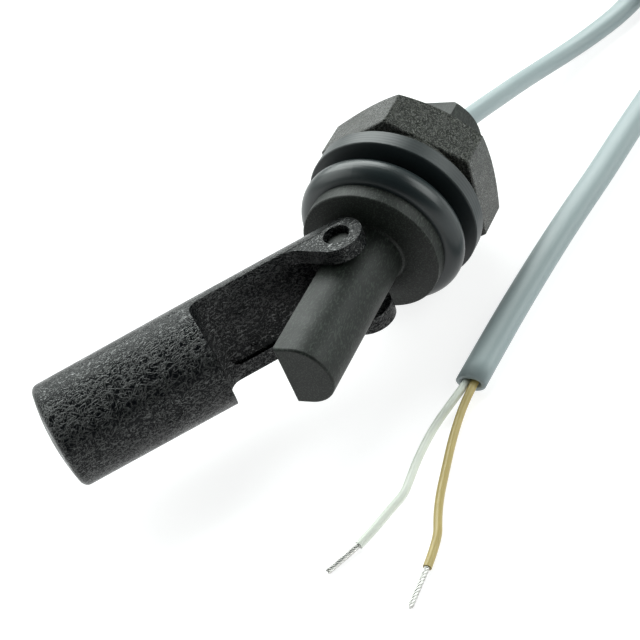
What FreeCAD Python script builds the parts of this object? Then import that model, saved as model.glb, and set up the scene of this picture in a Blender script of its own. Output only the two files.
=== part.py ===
"""Side-mounted float level switch with a hinged float and a two-core cable.

Frame: the thread axis lies along X, the hinge axis along Z. The origin is where the thread
axis crosses the rear face of the flange, which clamps against the tank wall. The stem and
the float are at -X, the stud, the nut and the cable are at +X. The float opens towards +Y.
The switch lies on its side, on the lowest corner of its nut, with the float swung open.
All sizes are in millimetres.
"""
import FreeCAD, Part
import math
import os

Vector = FreeCAD.Vector
os.makedirs("parts", exist_ok=True)

# flange, stem and stud: one moulding
FLANGE_R = 10.65
FLANGE_T = 2.5
FLANGE_EDGE_R = 0.25
STEM_R = 5.1
STEM_FLAT_Y = 2.35
STEM_TIP_X = -28.15
STEM_FOOT_R = 0.45
STEM_TIP_EDGE_R = 0.4
STUD_R = 8.0
STUD_LENGTH = 18.4
NECK_R = 7.05
NECK_END_X = 26.5
NECK_FLAT_Z = 5.15
NECK_CHAMFER = 0.35
CABLE_BORE_R = 3.3
CABLE_BORE_X = -1.0
CABLE_BORE_MOUTH = 0.4
REED_BORE_R = 1.75
REED_BORE_X = -26.4

# seal, gasket and nut on the stud
RING_SECTION_R = 2.36
RING_CENTRE_R = 10.42
GASKET_X = 6.25
GASKET_T = 2.8
GASKET_R = 13.35
GASKET_HOLE_R = 8.2
GASKET_EDGE_R = 0.2
NUT_COLLAR_R = 11.9
NUT_COLLAR_T = 1.75
NUT_FLATS = 24.0
NUT_T = 7.4
NUT_FACE_R = 11.9
NUT_CHAMFER_DEG = 30.0
NUT_BORE_R = 8.08
NUT_BORE_MOUTH = 0.6
NUT_EDGE_R = 0.35
NUT_TURN_DEG = 96.0

# hinge: pins moulded on the stem, holes in the float's lugs
HINGE_X = -7.75
HINGE_Y = 0.3
PIN_R = 1.92
PIN_END_Z = 6.9
PIN_CHAMFER = 0.3
HOLE_R = 2.0
OPEN_DEG = 43.0

# float and arm, in the float's own frame: origin on the hinge, X along the float when shut
FLOAT_R = 8.2
FLOAT_AXIS_Y = 0.6
FLOAT_TAIL_X = -48.85
FLOAT_TAIL_R = 8.05
FLOAT_TAIL_DOME = 1.0
FLOAT_NOSE_X = -23.35
FLOAT_EDGE_R = 1.2
RIM_Y = 2.2
POCKET_Y = 2.75
POCKET_NOSE_X = -21.2
POCKET_CORNER_R = 1.5
LUG_R = 3.75
LUG_INNER_Z = 5.6
LUG_OUTER_Z = 8.0
LUG_BEND_R = 4.0
LUG_BEND_DEG = 50.0
LUG_BEND_X = -8.6
ARM_END_X = -1.3
CAVITY_R = 6.2
CAP_R = 6.6
CAP_T = 1.8
WALL_T = 1.5
MAGNET_R = 2.0
MAGNET_LENGTH = 14.0
MAGNET_Y = 5.65
MAGNET_FRONT_X = -6.2
EJECTOR_R = 1.1
EJECTOR_DEPTH = 0.12
EJECTOR_X = (-16.8, -5.6)
EJECTOR_Z = (3.1, -3.1)
SPOT_R = 1.5
SPOT_DEPTH = 0.2
SPOT_X = (-45.0, -32.2)

# reed switch and leads inside the stem
GLASS_R = 1.1
GLASS_WALL = 0.3
GLASS_FRONT_X = -24.0
GLASS_REAR_X = -11.0
GLASS_END_R = 0.6
GLASS_SEAL = 1.6
LEAD_R = 0.25
BLADE_W = 1.0
BLADE_T = 0.2
BLADE_GAP = 0.1
FRONT_BLADE_TIP_X = -17.0
REAR_BLADE_TIP_X = -18.0
FRONT_LEAD_END_X = -25.85
RETURN_Y = -1.42
JOINT_R = 0.6
JOINT_X = 0.5
JOINT_LENGTH = 3.0
JOINT_EDGE_R = 0.3

# cable
CABLE_D = 3.6
CORE_D = 1.1
CORE_OFFSET_Y = 0.75
STRAND_D = 0.75
CABLE_INNER_X = 14.0
POTTING_X = 4.6
POTTING_END_X = 23.5
CAST_GAP = 0.02
COIL_TURN_R = 23.2
COIL_COLUMNS = 3
COIL_COLUMN_PITCH = 4.7
COIL_ROWS = 2
COIL_ROW_PITCH = 3.3
COIL_X = 116.0
COIL_Y = 6.5

FLOOR_Z = -NUT_FLATS / math.sqrt(3) * math.cos(math.radians(NUT_TURN_DEG - 90))
CABLE_Z = FLOOR_Z + CABLE_D / 2
CORE_Z = FLOOR_Z + CORE_D / 2

LEAD_ROUTE = [
    (POTTING_END_X, 0, 0), (26.3, 0, 0), (29.2, -0.2, -0.6), (32.4, -0.8, -1.9),
    (36.3, -2.0, -4.1), (41.9, -2.9, -5.9), (47.6, -3.5, -7.7), (54.0, -3.9, -9.8),
    (60.9, -5.9, -11.6), (67.6, -9.2, CABLE_Z), (74.8, -12.7, CABLE_Z), (83.2, -14.7, CABLE_Z),
    (91.8, -16.3, CABLE_Z), (100.2, -18.2, CABLE_Z),
]
RETURN_ROUTE = [
    (88.5, 11.3, CABLE_Z + 3.3), (87.5, 4.4, CABLE_Z + 3.5), (87.0, -2.6, CABLE_Z + 3.9),
    (85.7, -9.5, CABLE_Z + 4.2), (82.7, -15.7, CABLE_Z + 4.1), (78.0, -20.8, CABLE_Z + 2.9),
    (71.9, -24.3, CABLE_Z + 1.2), (65.0, -26.1, CABLE_Z), (57.9, -26.0, CABLE_Z), (50.9, -25.2, CABLE_Z),
    (41.0, -23.7, CABLE_Z), (30.5, -22.5, CABLE_Z), (19.0, -20.7, CABLE_Z), (7.0, -19.3, CABLE_Z),
    (-4.8, -18.2, CABLE_Z), (-16.0, -17.5, CABLE_Z),
]
WHITE_ROUTE = [
    (-16.0, -16.8, CABLE_Z + 0.2), (-19.6, -15.9, -12.3), (-24.2, -15.5, CORE_Z),
    (-29.8, -15.3, CORE_Z), (-35.6, -14.6, CORE_Z), (-40.6, -13.9, CORE_Z), (-45.4, -11.9, CORE_Z),
]
BROWN_ROUTE = [
    (-16.0, -18.0, CABLE_Z - 0.2), (-20.2, -18.1, -12.7), (-25.4, -18.5, CORE_Z),
    (-32.2, -19.0, CORE_Z), (-37.9, -20.6, CORE_Z), (-43.0, -22.3, CORE_Z), (-47.7, -22.9, CORE_Z),
]
WHITE_TIP = (-50.1, -9.2, FLOOR_Z + STRAND_D / 2)
BROWN_TIP = (-53.9, -22.9, FLOOR_Z + STRAND_D / 2)


def tube_x(outer_r, start_x, end_x, inner_r=0.0):
    """A round bar or a tube along X."""
    bar = Part.makeCylinder(outer_r, end_x - start_x, Vector(start_x, 0, 0), Vector(1, 0, 0))
    if inner_r:
        bar = bar.cut(Part.makeCylinder(inner_r, end_x - start_x, Vector(start_x, 0, 0), Vector(1, 0, 0)))
    return bar


def bar_between(start, end, radius):
    """A round bar from one point to another."""
    start = Vector(*start)
    run = Vector(*end) - start
    return Part.makeCylinder(radius, run.Length, start, run)


def edges_where(shape, test):
    """The shape's edges whose centre of mass and length pass the test."""
    return [edge for edge in shape.Edges if test(edge)]


def make_housing():
    """Flange, stem with its two hinge pins, and hollow threaded stud, moulded in one piece."""
    flange = tube_x(FLANGE_R, -FLANGE_T, 0)
    flange = flange.makeFillet(FLANGE_EDGE_R, edges_where(
        flange, lambda e: e.Closed and abs(e.CenterOfMass.x + FLANGE_T) < 0.01))

    corners = [Vector(STEM_TIP_X, STEM_FLAT_Y, STEM_R), Vector(STEM_TIP_X, 0, STEM_R),
               Vector(STEM_TIP_X, -STEM_R, 0), Vector(STEM_TIP_X, 0, -STEM_R),
               Vector(STEM_TIP_X, STEM_FLAT_Y, -STEM_R)]
    outline = Part.Wire([
        Part.LineSegment(corners[0], corners[1]).toShape(),
        Part.Arc(corners[1], corners[2], corners[3]).toShape(),
        Part.LineSegment(corners[3], corners[4]).toShape(),
        Part.LineSegment(corners[4], corners[0]).toShape()])
    stem = Part.Face(outline).extrude(Vector(-FLANGE_T - STEM_TIP_X, 0, 0))
    stem = stem.makeFillet(STEM_TIP_EDGE_R, edges_where(
        stem, lambda e: abs(e.CenterOfMass.x - STEM_TIP_X) < 0.01))

    stud = tube_x(STUD_R, -0.5, STUD_LENGTH)
    neck = tube_x(NECK_R, STUD_LENGTH - 1, NECK_END_X)
    neck = neck.makeChamfer(NECK_CHAMFER, edges_where(
        neck, lambda e: e.Closed and abs(e.CenterOfMass.x - NECK_END_X) < 0.01))
    for low_z in (NECK_FLAT_Z, -NECK_FLAT_Z - 5):
        neck = neck.cut(Part.makeBox(20, 20, 5, Vector(STUD_LENGTH, -10, low_z)))

    body = flange.fuse([stem, stud, neck]).removeSplitter()
    foot = edges_where(body, lambda e: abs(e.CenterOfMass.x + FLANGE_T) < 0.01
                       and e.BoundBox.YMax < STEM_R + 0.5 and e.BoundBox.ZMax < STEM_R + 0.5)
    body = body.makeFillet(STEM_FOOT_R, foot)

    pins = Part.makeCylinder(PIN_R, 2 * PIN_END_Z, Vector(HINGE_X, HINGE_Y, -PIN_END_Z))
    pins = pins.makeChamfer(PIN_CHAMFER, edges_where(
        pins, lambda e: e.Closed and abs(abs(e.CenterOfMass.z) - PIN_END_Z) < 0.01))
    body = body.fuse(pins)
    body = body.cut(tube_x(CABLE_BORE_R, CABLE_BORE_X, NECK_END_X + 1))
    body = body.cut(Part.makeCone(
        CABLE_BORE_R + CABLE_BORE_MOUTH, CABLE_BORE_R, CABLE_BORE_MOUTH,
        Vector(NECK_END_X, 0, 0), Vector(-1, 0, 0)))
    return body.cut(tube_x(REED_BORE_R, REED_BORE_X, 0)).removeSplitter()


def make_o_ring():
    """The soft ring that seals the flange to the inside of the tank wall."""
    return Part.makeTorus(RING_CENTRE_R, RING_SECTION_R, Vector(RING_SECTION_R, 0, 0), Vector(1, 0, 0))


def make_gasket():
    """The flat rubber washer under the nut."""
    gasket = tube_x(GASKET_R, GASKET_X, GASKET_X + GASKET_T, GASKET_HOLE_R)
    return gasket.makeFillet(GASKET_EDGE_R, edges_where(
        gasket, lambda e: e.Closed and abs(e.BoundBox.YMax - GASKET_R) < 0.01 and e.BoundBox.XLength < 0.01))


def make_lock_nut():
    """A six-sided plastic nut, its rear corners chamfered, with a round collar that presses on the gasket."""
    start = GASKET_X + GASKET_T
    face = start + NUT_COLLAR_T
    corner_r = NUT_FLATS / math.sqrt(3)
    points = []
    for number in range(7):
        turn = math.radians(NUT_TURN_DEG + 60 * number)
        points.append(Vector(face, corner_r * math.cos(turn), corner_r * math.sin(turn)))
    nut = Part.Face(Part.makePolygon(points)).extrude(Vector(NUT_T, 0, 0))
    nut = nut.makeFillet(NUT_EDGE_R, edges_where(nut, lambda e: e.CenterOfMass.x < face + NUT_T - 0.01))
    nut = nut.common(Part.makeCone(
        NUT_FACE_R + NUT_T / math.tan(math.radians(NUT_CHAMFER_DEG)), NUT_FACE_R, NUT_T,
        Vector(face, 0, 0), Vector(1, 0, 0)))
    collar = tube_x(NUT_COLLAR_R, start, face + 1)
    nut = nut.fuse(collar)
    bore = tube_x(NUT_BORE_R, start - 1, face + NUT_T + 1)
    mouth = Part.makeCone(
        NUT_BORE_R + NUT_BORE_MOUTH, NUT_BORE_R, NUT_BORE_MOUTH, Vector(face + NUT_T, 0, 0), Vector(-1, 0, 0))
    return nut.cut(bore).cut(mouth).removeSplitter()


def float_place(shape):
    """Move a piece from the float's own frame to the hinge, swung open."""
    shape.rotate(Vector(0, 0, 0), Vector(0, 0, 1), -OPEN_DEG)
    shape.translate(Vector(HINGE_X, HINGE_Y, 0))
    return shape


def float_bar(radius, start_x, end_x, axis_y=FLOAT_AXIS_Y):
    """A round bar along the float, in the float's own frame."""
    return Part.makeCylinder(radius, end_x - start_x, Vector(start_x, axis_y, 0), Vector(1, 0, 0))


def lug_outline():
    """Side view of the lug: the rim bends down into a round eye, then runs up to the arm's end."""
    bend = math.radians(LUG_BEND_DEG)
    bend_centre = Vector(LUG_BEND_X, RIM_Y - LUG_BEND_R, 0)

    def on_bend(angle):
        return bend_centre + Vector(math.sin(angle), math.cos(angle), 0) * LUG_BEND_R

    def on_eye(degrees):
        return Vector(math.cos(math.radians(degrees)), math.sin(math.radians(degrees)), 0) * LUG_R

    bend_end = on_bend(bend)
    slope = Vector(math.cos(bend), -math.sin(bend), 0)
    eye_start = bend_end + slope * (-bend_end.dot(slope))
    eye_start = eye_start * (LUG_R / eye_start.Length)
    crown = Vector(ARM_END_X, FLOAT_AXIS_Y + FLOAT_R, 0)
    eye_end_deg = math.degrees(math.atan2(crown.y, crown.x) - math.acos(LUG_R / crown.Length))
    eye_end = on_eye(eye_end_deg)
    root = Vector(LUG_BEND_X - 2, crown.y, 0)
    root_low = Vector(LUG_BEND_X - 2, RIM_Y, 0)
    edges = [
        Part.LineSegment(root_low, on_bend(0)).toShape(),
        Part.Arc(on_bend(0), on_bend(bend / 2), bend_end).toShape(),
        Part.LineSegment(bend_end, eye_start).toShape(),
        Part.Arc(eye_start, on_eye(-60), eye_end).toShape(),
        Part.LineSegment(eye_end, crown).toShape(),
        Part.LineSegment(crown, root).toShape(),
        Part.LineSegment(root, root_low).toShape(),
    ]
    return Part.Face(Part.Wire(edges))


def underside_cut():
    """What is taken from below the arm: up to the rim, with a hollow fillet at the float's nose."""
    fillet_r = POCKET_NOSE_X - FLOAT_NOSE_X
    low = FLOAT_AXIS_Y - FLOAT_R - 1
    nose_low = Vector(FLOAT_NOSE_X, low, -10)
    nose_top = Vector(FLOAT_NOSE_X, RIM_Y - fillet_r, -10)
    centre = Vector(POCKET_NOSE_X, RIM_Y - fillet_r, -10)
    middle = centre + Vector(-math.sqrt(0.5), math.sqrt(0.5), 0) * fillet_r
    rim_start = Vector(POCKET_NOSE_X, RIM_Y, -10)
    rim_end = Vector(5, RIM_Y, -10)
    end_low = Vector(5, low, -10)
    outline = Part.Wire([
        Part.LineSegment(nose_low, nose_top).toShape(),
        Part.Arc(nose_top, middle, rim_start).toShape(),
        Part.LineSegment(rim_start, rim_end).toShape(),
        Part.LineSegment(rim_end, end_low).toShape(),
        Part.LineSegment(end_low, nose_low).toShape()])
    return Part.Face(outline).extrude(Vector(0, 0, 20))


def float_form():
    """The float's outer form: a round body that draws in a little to a rounded, slightly domed tail."""
    rim_x = FLOAT_TAIL_X + FLOAT_TAIL_DOME
    pole = Vector(FLOAT_TAIL_X, 0, 0)
    rim = Vector(rim_x, FLOAT_TAIL_R, 0)
    dome_r = (FLOAT_TAIL_R ** 2 + FLOAT_TAIL_DOME ** 2) / (2 * FLOAT_TAIL_DOME)
    half = math.asin(FLOAT_TAIL_R / dome_r) / 2
    middle = Vector(FLOAT_TAIL_X + dome_r * (1 - math.cos(half)), dome_r * math.sin(half), 0)
    nose = Vector(FLOAT_NOSE_X, FLOAT_R, 0)
    front = Vector(ARM_END_X, FLOAT_R, 0)
    front_axis = Vector(ARM_END_X, 0, 0)
    outline = Part.Wire([
        Part.Arc(pole, middle, rim).toShape(),
        Part.LineSegment(rim, nose).toShape(),
        Part.LineSegment(nose, front).toShape(),
        Part.LineSegment(front, front_axis).toShape(),
        Part.LineSegment(front_axis, pole).toShape()])
    form = Part.Face(outline).revolve(Vector(0, 0, 0), Vector(1, 0, 0), 360)
    form = form.makeFillet(FLOAT_EDGE_R, edges_where(
        form, lambda e: e.Closed and abs(e.CenterOfMass.x - rim_x) < 0.01))
    form.translate(Vector(0, FLOAT_AXIS_Y, 0))
    return form


def make_float_body():
    """Hollow float with its arm and two lugs, moulded in one piece and open at the tail."""
    arm = float_form().cut(underside_cut())

    envelope = float_bar(FLOAT_R, LUG_BEND_X - 3, 6).fuse(
        Part.makeBox(20, 10, 2 * LUG_OUTER_Z, Vector(LUG_BEND_X - 3, RIM_Y + 0.2 - 10, -LUG_OUTER_Z)))
    for low_z in (LUG_INNER_Z, -LUG_OUTER_Z):
        plate = lug_outline().extrude(Vector(0, 0, LUG_OUTER_Z - LUG_INNER_Z))
        plate.translate(Vector(0, 0, low_z))
        arm = arm.fuse(plate.common(envelope))

    pocket = Part.makeBox(
        10 - POCKET_NOSE_X, POCKET_Y, 2 * LUG_INNER_Z, Vector(POCKET_NOSE_X, 0, -LUG_INNER_Z))
    pocket = pocket.makeFillet(POCKET_CORNER_R, edges_where(
        pocket, lambda e: abs(e.BoundBox.YLength - POCKET_Y) < 0.01 and e.CenterOfMass.x < 0))
    arm = arm.cut(pocket)
    arm = arm.cut(Part.makeCylinder(HOLE_R, 20, Vector(0, 0, -10)))
    for x in EJECTOR_X:
        for z in EJECTOR_Z:
            arm = arm.cut(Part.makeCylinder(
                EJECTOR_R, EJECTOR_DEPTH + 0.1, Vector(x, POCKET_Y - 0.1, z), Vector(0, 1, 0)))

    crest = FLOAT_AXIS_Y - FLOAT_R
    for x in SPOT_X:
        arm = arm.cut(Part.makeCylinder(SPOT_R, 2, Vector(x, crest + SPOT_DEPTH, 0), Vector(0, -1, 0)))

    cavity = float_bar(CAVITY_R, FLOAT_TAIL_X - 1, FLOAT_NOSE_X - WALL_T)
    seat = float_bar(CAP_R + CAST_GAP, FLOAT_TAIL_X - 1, FLOAT_TAIL_X + CAP_T)
    magnet_bore = float_bar(MAGNET_R + 0.08, FLOAT_NOSE_X - WALL_T - 1, MAGNET_FRONT_X + 0.2, MAGNET_Y)
    arm = arm.cut(cavity).cut(seat).cut(magnet_bore)
    return float_place(arm.removeSplitter())


def make_float_cap():
    """The disc welded into the float's open tail, domed with it."""
    return float_place(float_form().common(float_bar(CAP_R, FLOAT_TAIL_X - 1, FLOAT_TAIL_X + CAP_T)))


def make_magnet():
    """The bar magnet in the arm, which works the reed when the float is shut."""
    return float_place(float_bar(MAGNET_R, MAGNET_FRONT_X - MAGNET_LENGTH, MAGNET_FRONT_X, MAGNET_Y))


def make_reed_glass():
    """The sealed glass tube round the two reed blades."""
    glass = tube_x(GLASS_R, GLASS_FRONT_X, GLASS_REAR_X)
    glass = glass.makeFillet(GLASS_END_R, edges_where(
        glass, lambda e: e.Closed and e.BoundBox.XLength < 0.01))
    glass = glass.cut(tube_x(GLASS_R - GLASS_WALL, GLASS_FRONT_X + GLASS_SEAL, GLASS_REAR_X - GLASS_SEAL))
    return glass.cut(tube_x(LEAD_R + 0.01, GLASS_FRONT_X - 1, GLASS_REAR_X + 1))


def make_reed_blade(lead_end_x, root_x, tip_x, side):
    """A reed: a round lead through the glass, pressed flat inside it."""
    lead = tube_x(LEAD_R, min(lead_end_x, root_x), max(lead_end_x, root_x))
    low_y = BLADE_GAP / 2 if side > 0 else -BLADE_GAP / 2 - BLADE_T
    start = min(root_x, tip_x)
    blade = Part.makeBox(abs(tip_x - root_x), BLADE_T, BLADE_W, Vector(start, low_y, -BLADE_W / 2))
    return lead.fuse(blade).removeSplitter()


def make_return_wire():
    """The wire that brings the front lead back beside the glass."""
    corner = (REED_BORE_X + 0.8, RETURN_Y, 0)
    across = bar_between((corner[0], -LEAD_R, 0), corner, LEAD_R)
    along = bar_between(corner, (JOINT_X, RETURN_Y, 0), LEAD_R)
    return across.fuse([along, Part.makeSphere(LEAD_R, Vector(*corner))])


def make_solder_joint(y):
    """A bead of solder over a lead and the end of a core."""
    bead = bar_between((JOINT_X, y, 0), (JOINT_X + JOINT_LENGTH, y, 0), JOINT_R)
    return bead.makeFillet(JOINT_EDGE_R, edges_where(bead, lambda e: e.Closed and e.BoundBox.XLength < 0.01))


def inner_core(joint_y, jacket_y, radius):
    """One insulated core from its solder joint to the end of the jacket."""
    start_x = JOINT_X + JOINT_LENGTH
    slope = (jacket_y - joint_y) / (CABLE_INNER_X - start_x)
    core = bar_between((start_x - 1, joint_y - slope, 0), (CABLE_INNER_X + 1, jacket_y + slope, 0), radius)
    return core.common(Part.makeBox(CABLE_INNER_X - start_x, 8, 8, Vector(start_x, -4, -4)))


def make_potting(pieces):
    """The resin that seals the cable into the stud, with room for what runs through it."""
    resin = tube_x(CABLE_BORE_R - CAST_GAP, POTTING_X, POTTING_END_X)
    for piece in pieces:
        resin = resin.cut(piece)
    return resin


def route_wire(points):
    """Straight runs joined by tangent arcs, each as large as its two runs allow."""
    points = [Vector(*point) for point in points]
    edges = []
    radii = []
    start = points[0]
    for before, corner, after in zip(points, points[1:], points[2:]):
        towards = corner - before
        away = after - corner
        shorter = min(towards.Length, away.Length)
        half_turn = towards.getAngle(away) / 2
        radius = 0.45 * shorter / math.tan(half_turn)
        towards.normalize()
        away.normalize()
        arc_start = corner - towards * (0.45 * shorter)
        arc_end = corner + away * (0.45 * shorter)
        inward = away - towards
        inward.normalize()
        centre = corner + inward * (radius / math.cos(half_turn))
        arc_middle = centre - inward * radius
        edges.append(Part.LineSegment(start, arc_start).toShape())
        edges.append(Part.Arc(arc_start, arc_middle, arc_end).toShape())
        radii.append(radius)
        start = arc_end
    edges.append(Part.LineSegment(start, points[-1]).toShape())
    return Part.Wire(edges), radii


def make_cord(name, points, diameter):
    """A round cord along its route. Prints its bends, length and volume."""
    wire, radii = route_wire(points)
    start = Vector(*points[0])
    run = Vector(*points[1]) - start
    section = Part.Wire(Part.Circle(start, run, diameter / 2).toShape())
    cord = wire.makePipeShell([section], True, True)
    expected = math.pi * diameter ** 2 / 4 * wire.Length
    print(name, "length %.1f" % wire.Length, "volume/expected %.4f" % (cord.Volume / expected),
          "radii", " ".join("%.1f" % radius for radius in radii))
    return cord


def make_cable_coil():
    """The outer shape of the put-away cable: turns side by side in two layers."""
    half = COIL_COLUMNS * COIL_COLUMN_PITCH / 2
    height = COIL_ROWS * COIL_ROW_PITCH
    middle = Vector(COIL_X, COIL_Y, FLOOR_Z)
    coil = Part.makeCylinder(COIL_TURN_R + half, height, middle)
    coil = coil.cut(Part.makeCylinder(COIL_TURN_R - half, height, middle))
    rims = edges_where(coil, lambda e: e.Closed and e.BoundBox.ZLength < 0.01)
    return coil.makeFillet(COIL_ROW_PITCH / 2 - 0.1, rims)


def make_parts():
    """Every node of the switch by its name."""
    cable_inner = tube_x(CABLE_D / 2, CABLE_INNER_X, POTTING_END_X)
    front_root_x = GLASS_FRONT_X + GLASS_SEAL + BLADE_T
    rear_root_x = GLASS_REAR_X - GLASS_SEAL - BLADE_T
    white_start = WHITE_ROUTE[-1]
    brown_start = BROWN_ROUTE[-1]
    return {
        "housing": make_housing(),
        "o_ring": make_o_ring(),
        "gasket": make_gasket(),
        "lock_nut": make_lock_nut(),
        "float_body": make_float_body(),
        "float_cap": make_float_cap(),
        "magnet": make_magnet(),
        "reed_glass": make_reed_glass(),
        "reed_blade_front": make_reed_blade(FRONT_LEAD_END_X, front_root_x, FRONT_BLADE_TIP_X, 1),
        "reed_blade_rear": make_reed_blade(JOINT_X, rear_root_x, REAR_BLADE_TIP_X, -1),
        "return_wire": make_return_wire(),
        "solder_joint_brown": make_solder_joint(0.0),
        "solder_joint_white": make_solder_joint(RETURN_Y),
        "inner_core_brown": inner_core(0.0, CORE_OFFSET_Y, CORE_D / 2),
        "inner_core_white": inner_core(RETURN_Y, -CORE_OFFSET_Y, CORE_D / 2),
        "cable_inner": cable_inner,
        "potting": make_potting([
            tube_x(CABLE_D / 2 + CAST_GAP, CABLE_INNER_X, POTTING_END_X),
            inner_core(0.0, CORE_OFFSET_Y, CORE_D / 2 + CAST_GAP),
            inner_core(RETURN_Y, -CORE_OFFSET_Y, CORE_D / 2 + CAST_GAP)]),
        "cable_lead": make_cord("cable_lead", LEAD_ROUTE, CABLE_D),
        "cable_coil": make_cable_coil(),
        "cable_return": make_cord("cable_return", RETURN_ROUTE, CABLE_D),
        "white_core": make_cord("white_core", WHITE_ROUTE, CORE_D),
        "brown_core": make_cord("brown_core", BROWN_ROUTE, CORE_D),
        "white_strands": bar_between(white_start, WHITE_TIP, STRAND_D / 2),
        "brown_strands": bar_between(brown_start, BROWN_TIP, STRAND_D / 2),
    }


for name, shape in make_parts().items():
    solids = shape.Solids
    print(name, "solids", len(solids), "valid", shape.isValid(), "volume %.1f" % shape.Volume)
    if len(solids) == 1:
        shape = solids[0]
    shape.exportStep("parts/%s.step" % name)
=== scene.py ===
"""Looks of a side-mounted float level switch, lying on its side with the float swung open."""
import math

import bmesh
import bpy
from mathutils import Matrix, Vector


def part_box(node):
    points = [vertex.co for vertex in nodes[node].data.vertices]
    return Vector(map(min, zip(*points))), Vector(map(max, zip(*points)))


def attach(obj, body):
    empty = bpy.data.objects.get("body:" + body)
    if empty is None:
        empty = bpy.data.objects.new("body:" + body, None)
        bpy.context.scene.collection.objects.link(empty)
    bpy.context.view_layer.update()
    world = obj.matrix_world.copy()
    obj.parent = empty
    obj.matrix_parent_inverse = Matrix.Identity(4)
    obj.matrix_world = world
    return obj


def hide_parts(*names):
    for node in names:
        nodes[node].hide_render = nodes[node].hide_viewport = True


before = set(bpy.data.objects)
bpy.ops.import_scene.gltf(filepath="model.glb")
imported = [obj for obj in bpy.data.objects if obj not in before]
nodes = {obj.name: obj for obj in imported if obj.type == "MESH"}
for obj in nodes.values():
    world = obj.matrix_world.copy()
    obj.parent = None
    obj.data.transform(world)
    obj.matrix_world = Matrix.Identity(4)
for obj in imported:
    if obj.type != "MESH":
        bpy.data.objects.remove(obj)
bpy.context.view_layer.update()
floor_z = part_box("cable_coil")[0].z

# ---- Table, light and camera --------------------------------------------------------------
# The switch lies on a white acrylic light table, lit a little from below. A broad soft box
# hangs behind and above it, two weaker ones stand at its far left and its right, and the room
# in front is dim, so black plastic stays black.
TABLE_HALF_SIDE = 1.5
TABLE_GRAIN = 0.00111
TABLE_GLOW = 0.80
LIGHT_AIM = (0, 0, 0)
LIGHT_COLOUR = (0.95, 1.0, 0.98)
WALL_LIGHT = 0.55
OPEN_SIDE_LIGHT = 0.02
OPEN_SIDE = (-0.614, -0.515, 0.598)
CAMERA_PLACE = (-0.163795, -0.121425, 0.143149)
CAMERA_TURN_DEG = (50.5763, 19.6254, -65.4224)


def to_linear(hex_colour):
    """An sRGB hex colour as the linear colour that a shader takes."""
    parts = [int(hex_colour[place:place + 2], 16) / 255 for place in (1, 3, 5)]
    return [part / 12.92 if part <= 0.04045 else ((part + 0.055) / 1.055) ** 2.4 for part in parts] + [1.0]


def add_node(tree, kind, settings=None, links=None):
    """Adds one shader node. Settings are its own properties or inputs, links its inputs' sources."""
    node = tree.nodes.new(kind)
    for name, value in (settings or {}).items():
        if isinstance(name, str) and hasattr(node, name):
            setattr(node, name, value)
        else:
            node.inputs[name].default_value = value
    for name, source in (links or {}).items():
        tree.links.new(source, node.inputs[name])
    return node


def new_material(name, colour, roughness, ior=1.5):
    """A material with its surface shader, and the tree and object coordinates for its pattern."""
    material = bpy.data.materials.new(name)
    material.use_nodes = True
    tree = material.node_tree
    surface = tree.nodes["Principled BSDF"]
    surface.inputs["Base Color"].default_value = to_linear(colour)
    surface.inputs["Roughness"].default_value = roughness
    surface.inputs["IOR"].default_value = ior
    place = add_node(tree, "ShaderNodeTexCoord").outputs["Object"]
    return material, tree, surface, place


def add_piece(name, mesh, material):
    """A finished mesh as an object of the scene, at the origin, with its material."""
    piece = bpy.data.objects.new(name, mesh)
    bpy.context.scene.collection.objects.link(piece)
    mesh.materials.clear()
    mesh.materials.append(material)
    return piece


def white_table():
    """A matt white acrylic light table: lit a little from below, so shadows on it stay faint."""
    material, tree, surface, place = new_material("white_acrylic_light_table", "#9b9d9d", roughness=0.75)
    grain = add_node(tree, "ShaderNodeTexNoise", {"Scale": 1 / TABLE_GRAIN, "Detail": 2.0}, {
        "Vector": place})
    bump = add_node(tree, "ShaderNodeBump", {"Strength": 0.05, "Distance": 0.0001}, {
        "Height": grain.outputs["Fac"]})
    tree.links.new(bump.outputs["Normal"], surface.inputs["Normal"])
    surface.inputs["Emission Color"].default_value = to_linear("#ffffff")
    surface.inputs["Emission Strength"].default_value = TABLE_GLOW
    return material


table = bmesh.new()
bmesh.ops.create_grid(table, x_segments=1, y_segments=1, size=TABLE_HALF_SIDE)
bmesh.ops.translate(table, verts=table.verts, vec=(0, 0, floor_z))
table_mesh = bpy.data.meshes.new("table_top")
table.to_mesh(table_mesh)
table.free()
add_piece("table_top", table_mesh, white_table())


def soft_box(name, place, width, height, power):
    """A rectangular soft box that looks from its place to the switch."""
    light = bpy.data.lights.new(name, "AREA")
    light.shape = "RECTANGLE"
    light.size = width
    light.size_y = height
    light.energy = power
    light.color = LIGHT_COLOUR
    lamp = bpy.data.objects.new(name, light)
    bpy.context.scene.collection.objects.link(lamp)
    lamp.location = place
    lamp.rotation_euler = (Vector(LIGHT_AIM) - Vector(place)).to_track_quat("-Z", "Y").to_euler()


soft_box("back_box", (0.50, 0.45, 0.60), width=1.1, height=0.7, power=14.0)
soft_box("far_left_box", (-0.25, 0.80, 0.55), width=0.9, height=0.7, power=4.0)
soft_box("right_box", (0.35, -0.80, 0.45), width=0.9, height=0.6, power=7.0)


def studio_room():
    """White walls all round, but dim behind the camera, where the room is open."""
    room = bpy.data.worlds.new("studio_room")
    room.use_nodes = True
    tree = room.node_tree
    direction = add_node(tree, "ShaderNodeTexCoord").outputs["Generated"]
    towards = add_node(tree, "ShaderNodeVectorMath", {"operation": "DOT_PRODUCT", 1: OPEN_SIDE}, {
        0: direction})
    level = add_node(tree, "ShaderNodeMapRange", {
        "From Min": 0.1, "From Max": 0.65, "To Min": WALL_LIGHT, "To Max": OPEN_SIDE_LIGHT}, {
        "Value": towards.outputs["Value"]})
    background = tree.nodes["Background"]
    background.inputs["Color"].default_value = to_linear("#ebf6f1")
    tree.links.new(level.outputs["Result"], background.inputs["Strength"])
    return room


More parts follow.
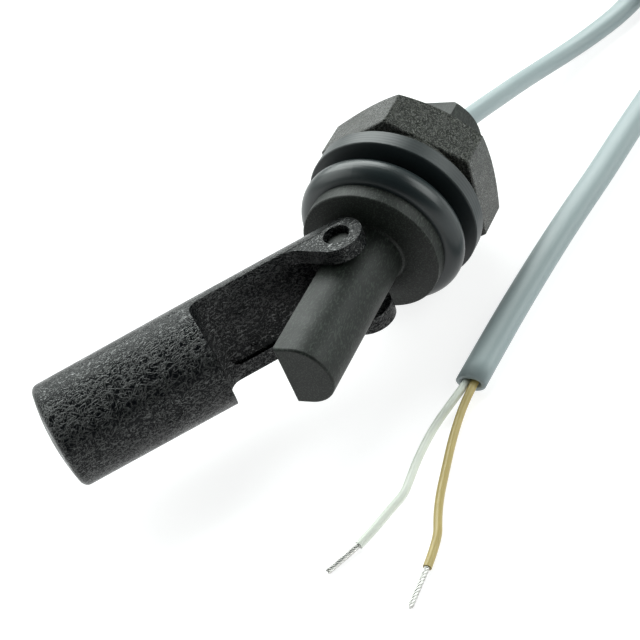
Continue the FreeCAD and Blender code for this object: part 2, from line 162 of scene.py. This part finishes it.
bpy.context.scene.world = studio_room()
bpy.context.scene.view_settings.view_transform = "Standard"

camera_data = bpy.data.cameras.new("camera")
camera_data.lens = 95.625
camera_data.sensor_width = 36.0
camera_data.clip_start = 0.01
camera = bpy.data.objects.new("camera", camera_data)
bpy.context.scene.collection.objects.link(camera)
camera.location = CAMERA_PLACE
camera.rotation_euler = [math.radians(turn) for turn in CAMERA_TURN_DEG]
bpy.context.scene.camera = camera

# ---- Flat two-core cable ------------------------------------------------------------------
# The lead is a flat PVC sheath over two cores side by side. It comes out of the potted neck,
# drops to the table, is put away in a neat coil in two layers, and comes back past the switch.
SHEATH_WIDTH = 0.0047
SHEATH_HEIGHT = 0.0031
SHEATH_WALL = 0.00075
HOLLOW_DEPTH = 0.0012
END_REACH = 0.006
MERGE_DISTANCE = 1e-6
SECTION_POINTS = 12
SECTION_STRETCH = 1.047
TABLE_GAP = 0.00005
LYING_Z = floor_z + SHEATH_HEIGHT / 2 + TABLE_GAP
JACKET_CLOUD = 0.00625
JACKET_GRAIN = 0.000714
COIL_CENTRE = Vector((0.1160, 0.0065, 0))
COIL_OUTER_RING = 0.0279
COIL_RING_PITCH = 0.0047
COIL_LAYER = 0.0032
COIL_START_DEG = 245.0
COIL_POINTS = 115
POINTS_PER_TURN = 24
STEPS_IN = (0.55, 1.55)
STEPS_OUT = (2.88, 3.88)
STEP_TURNS = 0.45
CLIMB_START = 2.33
CLIMB_TURNS = 0.30

# The sheath leaves the neck with its flat side rolled over, and comes level on its way to the
# coil. Each roll, in degrees, belongs to the point of the same place in the lead's route.
LEAD_ROLLS = (-31, -31, -31, -31, -31, -30, -28, -25, -21, -16, -12, -8, -4)
LEAD_ROUTE = [
    (0.0235, 0, 0), (0.0263, -0.0003, -0.0006), (0.0292, -0.0007, -0.0014), (0.0324, -0.0014, -0.0028),
    (0.0363, -0.0022, -0.0037), (0.0419, -0.0030, -0.0054), (0.0476, -0.0036, -0.0072),
    (0.0540, -0.0041, -0.0095), (0.0609, -0.0059, -0.0113), (0.0676, -0.0089, LYING_Z),
    (0.0748, -0.0128, LYING_Z), (0.0832, -0.0147, LYING_Z), (0.0918, -0.0163, LYING_Z),
    (0.1002, -0.0182, LYING_Z),
]
RETURN_ROUTE = [
    (0.0875, 0.0044, LYING_Z + 0.0033), (0.0870, -0.0026, LYING_Z + 0.0036),
    (0.0857, -0.0095, LYING_Z + 0.0038), (0.0827, -0.0157, LYING_Z + 0.0037),
    (0.0780, -0.0208, LYING_Z + 0.0025), (0.0719, -0.0243, LYING_Z + 0.0010), (0.0650, -0.0261, LYING_Z),
    (0.0579, -0.0260, LYING_Z), (0.0509, -0.0252, LYING_Z), (0.0410, -0.0237, LYING_Z),
    (0.0305, -0.0225, LYING_Z), (0.0190, -0.0207, LYING_Z), (0.0070, -0.0193, LYING_Z),
    (-0.0048, -0.0182, LYING_Z), (-0.0160, -0.0175, LYING_Z),
]


def eased(value):
    """A smooth step from 0 to 1."""
    value = min(1.0, max(0.0, value))
    return value * value * (3 - 2 * value)


def coil_radius(turn):
    """Radius after that many turns: each step moves the cable one ring in, or later one out."""
    moved_in = sum(eased((turn - start) / STEP_TURNS) for start in STEPS_IN)
    moved_out = sum(eased((turn - start) / STEP_TURNS) for start in STEPS_OUT)
    return COIL_OUTER_RING - COIL_RING_PITCH * (moved_in - moved_out)


def coil_route():
    """Points of the coil: three rings inwards on the table, then three outwards on top of them."""
    points = []
    stretch = 1 / math.cos(math.pi / POINTS_PER_TURN)
    for number in range(1, COIL_POINTS + 1):
        turn = number / POINTS_PER_TURN
        radius = coil_radius(turn) * stretch
        angle = math.radians(COIL_START_DEG) + 2 * math.pi * turn
        rise = COIL_LAYER * eased((turn - CLIMB_START) / CLIMB_TURNS)
        points.append(COIL_CENTRE + Vector((
            radius * math.cos(angle), radius * math.sin(angle), LYING_Z + rise)))
    return points


def new_line(name, points, resolution, tilts=None):
    """A smooth line through space: a NURBS curve of order 3 with the points as its controls."""
    curve = bpy.data.curves.new(name, "CURVE")
    curve.dimensions = "3D"
    curve.resolution_u = resolution
    curve.twist_mode = "Z_UP"
    spline = curve.splines.new("NURBS")
    spline.points.add(len(points) - 1)
    for number, point in enumerate(points):
        spline.points[number].co = (*point, 1)
        spline.points[number].tilt = tilts[number] if tilts else 0.0
    spline.order_u = 3
    spline.use_endpoint_u = True
    return curve


def line_points(curve):
    """The points that Blender itself gives along a line with no thickness."""
    carrier = bpy.data.objects.new("line_carrier", curve)
    mesh = bpy.data.meshes.new_from_object(carrier)
    points = [vertex.co.copy() for vertex in mesh.vertices]
    bpy.data.meshes.remove(mesh)
    bpy.data.objects.remove(carrier)
    return points


def oval_section(width, height):
    """An oval, the section of a two-core sheath. The curve runs a little inside its points, which
    are therefore set further out by the stretch."""
    section = bpy.data.curves.new("sheath_section", "CURVE")
    section.dimensions = "2D"
    section.resolution_u = 2
    spline = section.splines.new("NURBS")
    spline.points.add(SECTION_POINTS - 1)
    half_width = width / 2 * SECTION_STRETCH
    half_height = height / 2 * SECTION_STRETCH
    for number in range(SECTION_POINTS):
        angle = 2 * math.pi * number / SECTION_POINTS
        spline.points[number].co = (half_width * math.cos(angle), half_height * math.sin(angle), 0, 1)
    spline.order_u = 4
    spline.use_cyclic_u = True
    carrier = bpy.data.objects.new("sheath_section", section)
    bpy.context.scene.collection.objects.link(carrier)
    return carrier


def swept_mesh(curve, section):
    """The mesh of a line with that section, open at both ends."""
    curve.bevel_mode = "OBJECT"
    curve.bevel_object = section
    curve.use_fill_caps = False
    carrier = bpy.data.objects.new("sweep_carrier", curve)
    bpy.context.scene.collection.objects.link(carrier)
    graph = bpy.context.evaluated_depsgraph_get()
    mesh = bpy.data.meshes.new_from_object(carrier.evaluated_get(graph))
    bpy.data.objects.remove(carrier)
    return mesh


def hollow_end(mesh, end, inwards):
    """Turns the open end of a sheath in on itself: a cut wall, and a dark hollow behind it."""
    shell = bmesh.new()
    shell.from_mesh(mesh)
    bmesh.ops.remove_doubles(shell, verts=shell.verts, dist=MERGE_DISTANCE)
    rims = [edge for edge in shell.edges if edge.is_boundary]
    rim = [edge for edge in rims if (edge.verts[0].co - end).length < END_REACH]
    centre = sum((edge.verts[0].co for edge in rim), Vector()) / len(rim)
    wall = bmesh.ops.extrude_edge_only(shell, edges=rim)["geom"]
    inner = [item for item in wall if isinstance(item, bmesh.types.BMVert)]
    for vertex in inner:
        arm = vertex.co - centre
        vertex.co -= arm.normalized() * SHEATH_WALL
    inner_rim = [item for item in wall if isinstance(item, bmesh.types.BMEdge)]
    inner_rim = [edge for edge in inner_rim if all(vertex in inner for vertex in edge.verts)]
    deep = bmesh.ops.extrude_edge_only(shell, edges=inner_rim)["geom"]
    bmesh.ops.translate(shell, verts=[v for v in deep if isinstance(v, bmesh.types.BMVert)], vec=inwards)
    floor_rim = [edge for edge in deep if isinstance(edge, bmesh.types.BMEdge) and edge.is_boundary]
    bmesh.ops.edgeloop_fill(shell, edges=floor_rim)
    rest = [edge for edge in shell.edges if edge.is_boundary]
    bmesh.ops.edgeloop_fill(shell, edges=rest)
    bmesh.ops.recalc_face_normals(shell, faces=shell.faces)
    for face in shell.faces:
        face.smooth = len(face.verts) == 4
    shell.to_mesh(mesh)
    shell.free()


def blue_grey_pvc():
    """Soft PVC jacket, drawn from the die: satin, with a slight cloudiness and a faint grain."""
    material, tree, surface, place = new_material("blue_grey_pvc_jacket", "#91a1a3", roughness=0.45)
    cloud = add_node(tree, "ShaderNodeTexNoise", {"Scale": 1 / JACKET_CLOUD, "Detail": 3.0}, {
        "Vector": place})
    tint = add_node(tree, "ShaderNodeMix", {"data_type": "RGBA", "A": to_linear("#8a9799"),
                                            "B": to_linear("#94a0a2")}, {"Factor": cloud.outputs["Fac"]})
    tree.links.new(tint.outputs["Result"], surface.inputs["Base Color"])
    skin = add_node(tree, "ShaderNodeTexNoise", {"Scale": 1 / JACKET_GRAIN, "Detail": 2.0}, {
        "Vector": place})
    bump = add_node(tree, "ShaderNodeBump", {"Strength": 0.12, "Distance": 0.0001}, {
        "Height": skin.outputs["Fac"]})
    tree.links.new(bump.outputs["Normal"], surface.inputs["Normal"])
    surface.inputs["Subsurface Weight"].default_value = 0.15
    surface.inputs["Subsurface Radius"].default_value = (0.001, 0.001, 0.001)
    return material


cable_route = [Vector(point) for point in LEAD_ROUTE]
cable_route += coil_route()
cable_route += [Vector(point) for point in RETURN_ROUTE]
cable_tilts = [math.radians(roll) for roll in LEAD_ROLLS]
cable_tilts += [0.0] * (len(cable_route) - len(cable_tilts))
cable_line = new_line("cable_line", cable_route, 6, cable_tilts)
cable_path = line_points(cable_line)
cable_section = oval_section(SHEATH_WIDTH, SHEATH_HEIGHT)
cable_mesh = swept_mesh(cable_line, cable_section)
bpy.data.objects.remove(cable_section)
hollow_end(cable_mesh, cable_path[-1], (HOLLOW_DEPTH, 0, 0))
cable = add_piece("flat_cable", cable_mesh, blue_grey_pvc())
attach(cable, "switch")
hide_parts("cable_lead", "cable_coil", "cable_return")

# ---- White and brown cores with their tinned ends -----------------------------------------
# Two PVC-covered cores come out of the cut sheath side by side. Each is stripped at its end,
# and its seven tinned copper strands are twisted together.
CORE_D = 0.0012
CORE_Z = floor_z + CORE_D / 2
STRAND_D = 0.00029
STRAND_COUNT = 7
STRAND_POINTS = 18
STRAND_NEST = 0.93
STRAND_STAGGER = 0.00018
HIDDEN_START = 0.0004
LAY_LENGTH = 0.0034
STRIPPED_END_R = 0.000375
CORE_CLOUD = 0.00238
TIN_MOTTLE = 0.000385
WHITE_PVC = ("#dfe3da", "#d2d7cd")
WHITE_MILK = 0.2
BROWN_PVC = ("#b09e63", "#9c8a4f")
BROWN_MILK = 0.1
WHITE_ROUTE = [
    (-0.0146, -0.0169, LYING_Z), (-0.0160, -0.0168, LYING_Z), (-0.0194, -0.0160, -0.0123),
    (-0.0241, -0.0144, CORE_Z), (-0.0298, -0.0143, CORE_Z), (-0.0341, -0.0147, CORE_Z),
    (-0.0363, -0.0148, CORE_Z), (-0.0389, -0.0139, CORE_Z), (-0.0425, -0.0130, CORE_Z),
    (-0.0454, -0.0119, CORE_Z),
]
BROWN_ROUTE = [
    (-0.0146, -0.0181, LYING_Z), (-0.0160, -0.0180, LYING_Z), (-0.0200, -0.0176, -0.0127),
    (-0.0256, -0.0180, CORE_Z), (-0.0321, -0.0193, CORE_Z), (-0.0360, -0.0201, CORE_Z),
    (-0.0396, -0.0212, CORE_Z), (-0.0430, -0.0226, CORE_Z), (-0.0477, -0.0229, CORE_Z),
]
WHITE_TIP = (-0.0501, -0.0092, floor_z + STRIPPED_END_R)
BROWN_TIP = (-0.0539, -0.0229, floor_z + STRIPPED_END_R)


def core_pvc(name, tints, milk):
    """Thin PVC insulation: softly shiny, and a little milky, as light goes some way into it."""
    light, deep = tints
    material, tree, surface, place = new_material(name, light, roughness=0.35)
    cloud = add_node(tree, "ShaderNodeTexNoise", {"Scale": 1 / CORE_CLOUD, "Detail": 2.0}, {"Vector": place})
    tint = add_node(tree, "ShaderNodeMix", {"data_type": "RGBA", "A": to_linear(deep),
                                            "B": to_linear(light)}, {"Factor": cloud.outputs["Fac"]})
    tree.links.new(tint.outputs["Result"], surface.inputs["Base Color"])
    surface.inputs["Subsurface Weight"].default_value = milk
    surface.inputs["Subsurface Radius"].default_value = (0.0005, 0.0005, 0.0005)
    return material


def tinned_copper():
    """Tinned copper wire: bright but soft, grey where the tin has dulled."""
    material, tree, surface, place = new_material("tinned_copper_wire", "#dcdbd7", roughness=0.36)
    surface.inputs["Metallic"].default_value = 1.0
    dull = add_node(tree, "ShaderNodeTexNoise", {"Scale": 1 / TIN_MOTTLE, "Detail": 3.0}, {"Vector": place})
    tint = add_node(tree, "ShaderNodeMix", {"data_type": "RGBA", "A": to_linear("#9b9a96"),
                                            "B": to_linear("#e4e3e0")}, {"Factor": dull.outputs["Fac"]})
    tree.links.new(tint.outputs["Result"], surface.inputs["Base Color"])
    return material


def twisted_strands(name, start, tip):
    """One straight strand with six twisted round it, from inside the insulation to the tip, where
    they end a little unevenly."""
    start, tip = Vector(start), Vector(tip)
    along = (tip - start).normalized()
    across = along.orthogonal().normalized()
    turned = along.cross(across)
    whole = (tip - start).length
    curve = bpy.data.curves.new(name, "CURVE")
    curve.dimensions = "3D"
    curve.bevel_depth = STRAND_D / 2
    curve.bevel_resolution = 3
    curve.resolution_u = 3
    curve.use_fill_caps = True
    for strand in range(STRAND_COUNT):
        short = STRAND_STAGGER * (strand % 3)
        offset = STRAND_D * STRAND_NEST if strand else 0.0
        spline = curve.splines.new("NURBS")
        spline.points.add(STRAND_POINTS - 1)
        for number in range(STRAND_POINTS):
            share = number / (STRAND_POINTS - 1)
            distance = (whole - short + HIDDEN_START) * share - HIDDEN_START
            angle = strand * math.pi / 3 + 2 * math.pi * distance / LAY_LENGTH
            sideways = across * math.cos(angle) + turned * math.sin(angle)
            point = start + along * distance + sideways * offset
            spline.points[number].co = (*point, 1)
        spline.order_u = 3
        spline.use_endpoint_u = True
    carrier = bpy.data.objects.new(name, curve)
    mesh = bpy.data.meshes.new_from_object(carrier)
    bpy.data.objects.remove(carrier)
    return mesh


def make_core(colour_name, route, tip, material):
    """One core with its strands, each standing for its CAD node."""
    strands = add_piece(colour_name + "_twisted_strands", twisted_strands(
        colour_name + "_twisted_strands", route[-1], tip), tinned_copper())
    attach(strands, "switch")
    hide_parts(colour_name + "_strands")
    curve = new_line(colour_name + "_core_line", route, 12)
    path = line_points(curve)
    curve.bevel_depth = CORE_D / 2
    curve.bevel_resolution = 6
    curve.use_fill_caps = True
    curve.materials.append(material)
    core = bpy.data.objects.new(colour_name + "_insulated_core", curve)
    bpy.context.scene.collection.objects.link(core)
    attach(core, "switch")
    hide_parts(colour_name + "_core")


make_core("white", WHITE_ROUTE, WHITE_TIP, core_pvc("milky_white_pvc", WHITE_PVC, WHITE_MILK))
make_core("brown", BROWN_ROUTE, BROWN_TIP, core_pvc("tan_brown_pvc", BROWN_PVC, BROWN_MILK))

# ---- Housing ------------------------------------------------------------------------------
# Flange, stem, hinge pins, threaded stud and neck are one moulding in glass-filled nylon. It is
# black, with a satin skin in which short fibres lie along the flow of the melt.
SKIN_CLOUD = 0.00333


def dress(names, material):
    """Gives CAD nodes their material."""
    for name in names:
        nodes[name].material_slots[0].material = material


def fibre_pattern(tree, place, directions, width, length):
    """Short glass fibres in the skin: one layer of thin dashes for each direction, laid over each
    other. The real ones are 0.01 mm thick, and are drawn about twenty times as thick to show."""
    layers = None
    for number, direction in enumerate(directions):
        turn = Vector(direction).to_track_quat("X", "Z").to_euler()
        laid = add_node(tree, "ShaderNodeMapping", {
            "vector_type": "TEXTURE", "Location": (0.01 * number, 0, 0), "Rotation": turn,
            "Scale": (length / width, 1.0, 1.0)}, {"Vector": place})
        dashes = add_node(tree, "ShaderNodeTexNoise", {
            "Scale": 1 / width, "Detail": 1.0, "Distortion": 0.3}, {"Vector": laid.outputs["Vector"]})
        layer = add_node(tree, "ShaderNodeMapRange", {
            "From Min": 0.58, "From Max": 0.68}, {"Value": dashes.outputs["Fac"]}).outputs["Result"]
        if layers:
            both = add_node(tree, "ShaderNodeMath", {"operation": "MAXIMUM"}, {0: layers, 1: layer})
            layer = both.outputs["Value"]
        layers = layer
    return layers


def filled_nylon():
    """Smooth moulded skin: satin black-grey, with only faint fibre flecks in it."""
    material, tree, surface, place = new_material("glass_filled_nylon_smooth", "#121513", roughness=0.5)
    fibres = fibre_pattern(tree, place, [(1, 0.1, 0.1), (1, -0.4, 0.5)], width=0.00022, length=0.0010)
    cloud = add_node(tree, "ShaderNodeTexNoise", {"Scale": 1 / SKIN_CLOUD, "Detail": 3.0}, {"Vector": place})
    tint = add_node(tree, "ShaderNodeMix", {"data_type": "RGBA", "A": to_linear("#101411"),
                                            "B": to_linear("#2a312b")}, {"Factor": fibres})
    tree.links.new(tint.outputs["Result"], surface.inputs["Base Color"])
    surface.inputs["Specular IOR Level"].default_value = 0.3
    rough = add_node(tree, "ShaderNodeMapRange", {"To Min": 0.40, "To Max": 0.60}, {
        "Value": cloud.outputs["Fac"]})
    tree.links.new(rough.outputs["Result"], surface.inputs["Roughness"])
    bump = add_node(tree, "ShaderNodeBump", {"Strength": 0.35, "Distance": 0.00003}, {"Height": fibres})
    tree.links.new(bump.outputs["Normal"], surface.inputs["Normal"])
    return material


dress(["housing"], filled_nylon())

# ---- Float, its cap and the lock nut ------------------------------------------------------
# These are moulded in a more heavily filled nylon. The fibres reach the skin, which is streaky
# grey over black and breaks every highlight into flecks. The float's cross at four angles to its
# axis, measured from the axis towards the way round it.
FLOAT_AXIS = Vector((0.743, -0.669, 0))
FLOAT_ROUND = Vector((0.401, 0.446, 0.793))
FLOAT_FLOW_DEG = (8, 42, 80, -35)
NUT_FLOW = [(0.3, 1, 0.2), (0.2, 0.3, 1), (1, 0.2, -0.4)]
GLOSS_PATCH = 0.00303


def coarse_filled_nylon(name, directions, width, length, proud, tints, shine):
    """Fibre-rich skin: black between grey fibres that stand a little proud, so every highlight
    breaks into flecks, and patches that are more or less glossy."""
    material, tree, surface, place = new_material(name, tints[0], roughness=0.45)
    fibres = fibre_pattern(tree, place, directions, width, length)
    patch = add_node(tree, "ShaderNodeTexNoise", {"Scale": 1 / GLOSS_PATCH, "Detail": 4.0}, {
        "Vector": place})
    tint = add_node(tree, "ShaderNodeMix", {"data_type": "RGBA", "A": to_linear(tints[0]),
                                            "B": to_linear(tints[1])}, {"Factor": fibres})
    tree.links.new(tint.outputs["Result"], surface.inputs["Base Color"])
    gloss = add_node(tree, "ShaderNodeMapRange", {"To Min": shine[0], "To Max": shine[1]}, {"Value": fibres})
    tree.links.new(gloss.outputs["Result"], surface.inputs["Specular IOR Level"])
    rough = add_node(tree, "ShaderNodeMapRange", {
        "From Min": 0.3, "From Max": 0.7, "To Min": 0.20, "To Max": 0.36}, {"Value": patch.outputs["Fac"]})
    tree.links.new(rough.outputs["Result"], surface.inputs["Roughness"])
    bump = add_node(tree, "ShaderNodeBump", {"Strength": 1.0, "Distance": proud}, {"Height": fibres})
    tree.links.new(bump.outputs["Normal"], surface.inputs["Normal"])
    return material


float_flow = [FLOAT_AXIS * math.cos(math.radians(turn)) + FLOAT_ROUND * math.sin(math.radians(turn))
              for turn in FLOAT_FLOW_DEG]
dress(["float_body", "float_cap"], coarse_filled_nylon(
    "glass_filled_nylon_float", float_flow, width=0.00020, length=0.0013, proud=0.00010,
    tints=("#07090c", "#161a18"), shine=(0.12, 0.85)))
dress(["lock_nut"], coarse_filled_nylon(
    "glass_filled_nylon_nut", NUT_FLOW, width=0.00017, length=0.0006, proud=0.00008,
    tints=("#171915", "#3e4137"), shine=(0.3, 0.8)))

# ---- O-ring and gasket --------------------------------------------------------------------
# Both are black nitrile rubber. The ring is moulded smooth and shines softly; the gasket is
# punched from sheet, with a duller face and fine lines round its cut rim.
RUBBER_BLOOM = 0.00385
CUT_LINE_SPACING = 0.000561
WAVES_AT_SCALE_1 = 20 / (2 * math.pi)


def nitrile_rubber(name, roughness, line_height):
    """Black nitrile rubber with a blue cast, and lines round it where it was cut. They are drawn
    0.56 mm apart, several times as coarse as real ones, so that they show."""
    material, tree, surface, place = new_material(name, "#192022", roughness)
    bloom = add_node(tree, "ShaderNodeTexNoise", {"Scale": 1 / RUBBER_BLOOM, "Detail": 3.0}, {
        "Vector": place})
    tint = add_node(tree, "ShaderNodeMix", {"data_type": "RGBA", "A": to_linear("#141b1d"),
                                            "B": to_linear("#20292b")}, {"Factor": bloom.outputs["Fac"]})
    tree.links.new(tint.outputs["Result"], surface.inputs["Base Color"])
    lines = add_node(tree, "ShaderNodeTexWave", {
        "bands_direction": "X", "Scale": 1 / (CUT_LINE_SPACING * WAVES_AT_SCALE_1), "Distortion": 0.6,
        "Detail": 1.0}, {"Vector": place})
    bump = add_node(tree, "ShaderNodeBump", {"Strength": line_height, "Distance": 0.0001}, {
        "Height": lines.outputs["Fac"]})
    tree.links.new(bump.outputs["Normal"], surface.inputs["Normal"])
    return material


dress(["o_ring"], nitrile_rubber("nitrile_rubber_moulded", roughness=0.33, line_height=0.04))
dress(["gasket"], nitrile_rubber("nitrile_rubber_cut", roughness=0.42, line_height=0.12))

# ---- Potting resin ------------------------------------------------------------------------
# Black epoxy cast into the neck round the cable. It sets a little below the rim, glossy, with
# a few low ripples.
RIPPLE = 0.00417


def potting_resin():
    """Cast epoxy: near-black, mirror-smooth but for slow ripples."""
    material, tree, surface, place = new_material("cast_epoxy_potting", "#14171a", roughness=0.18, ior=1.55)
    ripple = add_node(tree, "ShaderNodeTexNoise", {"Scale": 1 / RIPPLE, "Detail": 1.0}, {"Vector": place})
    bump = add_node(tree, "ShaderNodeBump", {"Strength": 0.3, "Distance": 0.0002}, {
        "Height": ripple.outputs["Fac"]})
    tree.links.new(bump.outputs["Normal"], surface.inputs["Normal"])
    return material


dress(["potting"], potting_resin())

# ---- Inner pieces -------------------------------------------------------------------------
# The magnet is cast alloy. The reed is a pair of nickel-iron blades in green-tinted glass,
# soldered to the cores inside the stem. None of them shows from outside.
METAL_MOTTLE = 0.00111
GLASS_WAVE = 0.002


def inner_metal(name, dark, light, roughness):
    """A metal with the mottle of its casting, drawing or solder."""
    material, tree, surface, place = new_material(name, light, roughness)
    surface.inputs["Metallic"].default_value = 1.0
    mottle = add_node(tree, "ShaderNodeTexNoise", {"Scale": 1 / METAL_MOTTLE, "Detail": 3.0}, {
        "Vector": place})
    tint = add_node(tree, "ShaderNodeMix", {"data_type": "RGBA", "A": to_linear(dark),
                                            "B": to_linear(light)}, {"Factor": mottle.outputs["Fac"]})
    tree.links.new(tint.outputs["Result"], surface.inputs["Base Color"])
    return material


def sealing_glass():
    """Clear glass with a faint green tint, fire-polished."""
    material, tree, surface, place = new_material("green_sealing_glass", "#cfe8d6", roughness=0.04, ior=1.52)
    surface.inputs["Transmission Weight"].default_value = 1.0
    wave = add_node(tree, "ShaderNodeTexNoise", {"Scale": 1 / GLASS_WAVE}, {"Vector": place})
    bump = add_node(tree, "ShaderNodeBump", {"Strength": 0.05, "Distance": 0.0001}, {
        "Height": wave.outputs["Fac"]})
    tree.links.new(bump.outputs["Normal"], surface.inputs["Normal"])
    return material


dress(["magnet"], inner_metal("cast_magnet_alloy", dark="#5b5c5e", light="#8b8c8f", roughness=0.5))
dress(["reed_blade_front", "reed_blade_rear", "return_wire"],
      inner_metal("nickel_iron_wire", dark="#a49c8c", light="#cfc8b8", roughness=0.3))
dress(["solder_joint_brown", "solder_joint_white"],
      inner_metal("dull_solder", dark="#9a9b9c", light="#c2c3c4", roughness=0.4))
dress(["reed_glass"], sealing_glass())
dress(["inner_core_white"], core_pvc("milky_white_pvc_inside", WHITE_PVC, WHITE_MILK))
dress(["inner_core_brown"], core_pvc("tan_brown_pvc_inside", BROWN_PVC, BROWN_MILK))
dress(["cable_inner"], blue_grey_pvc())
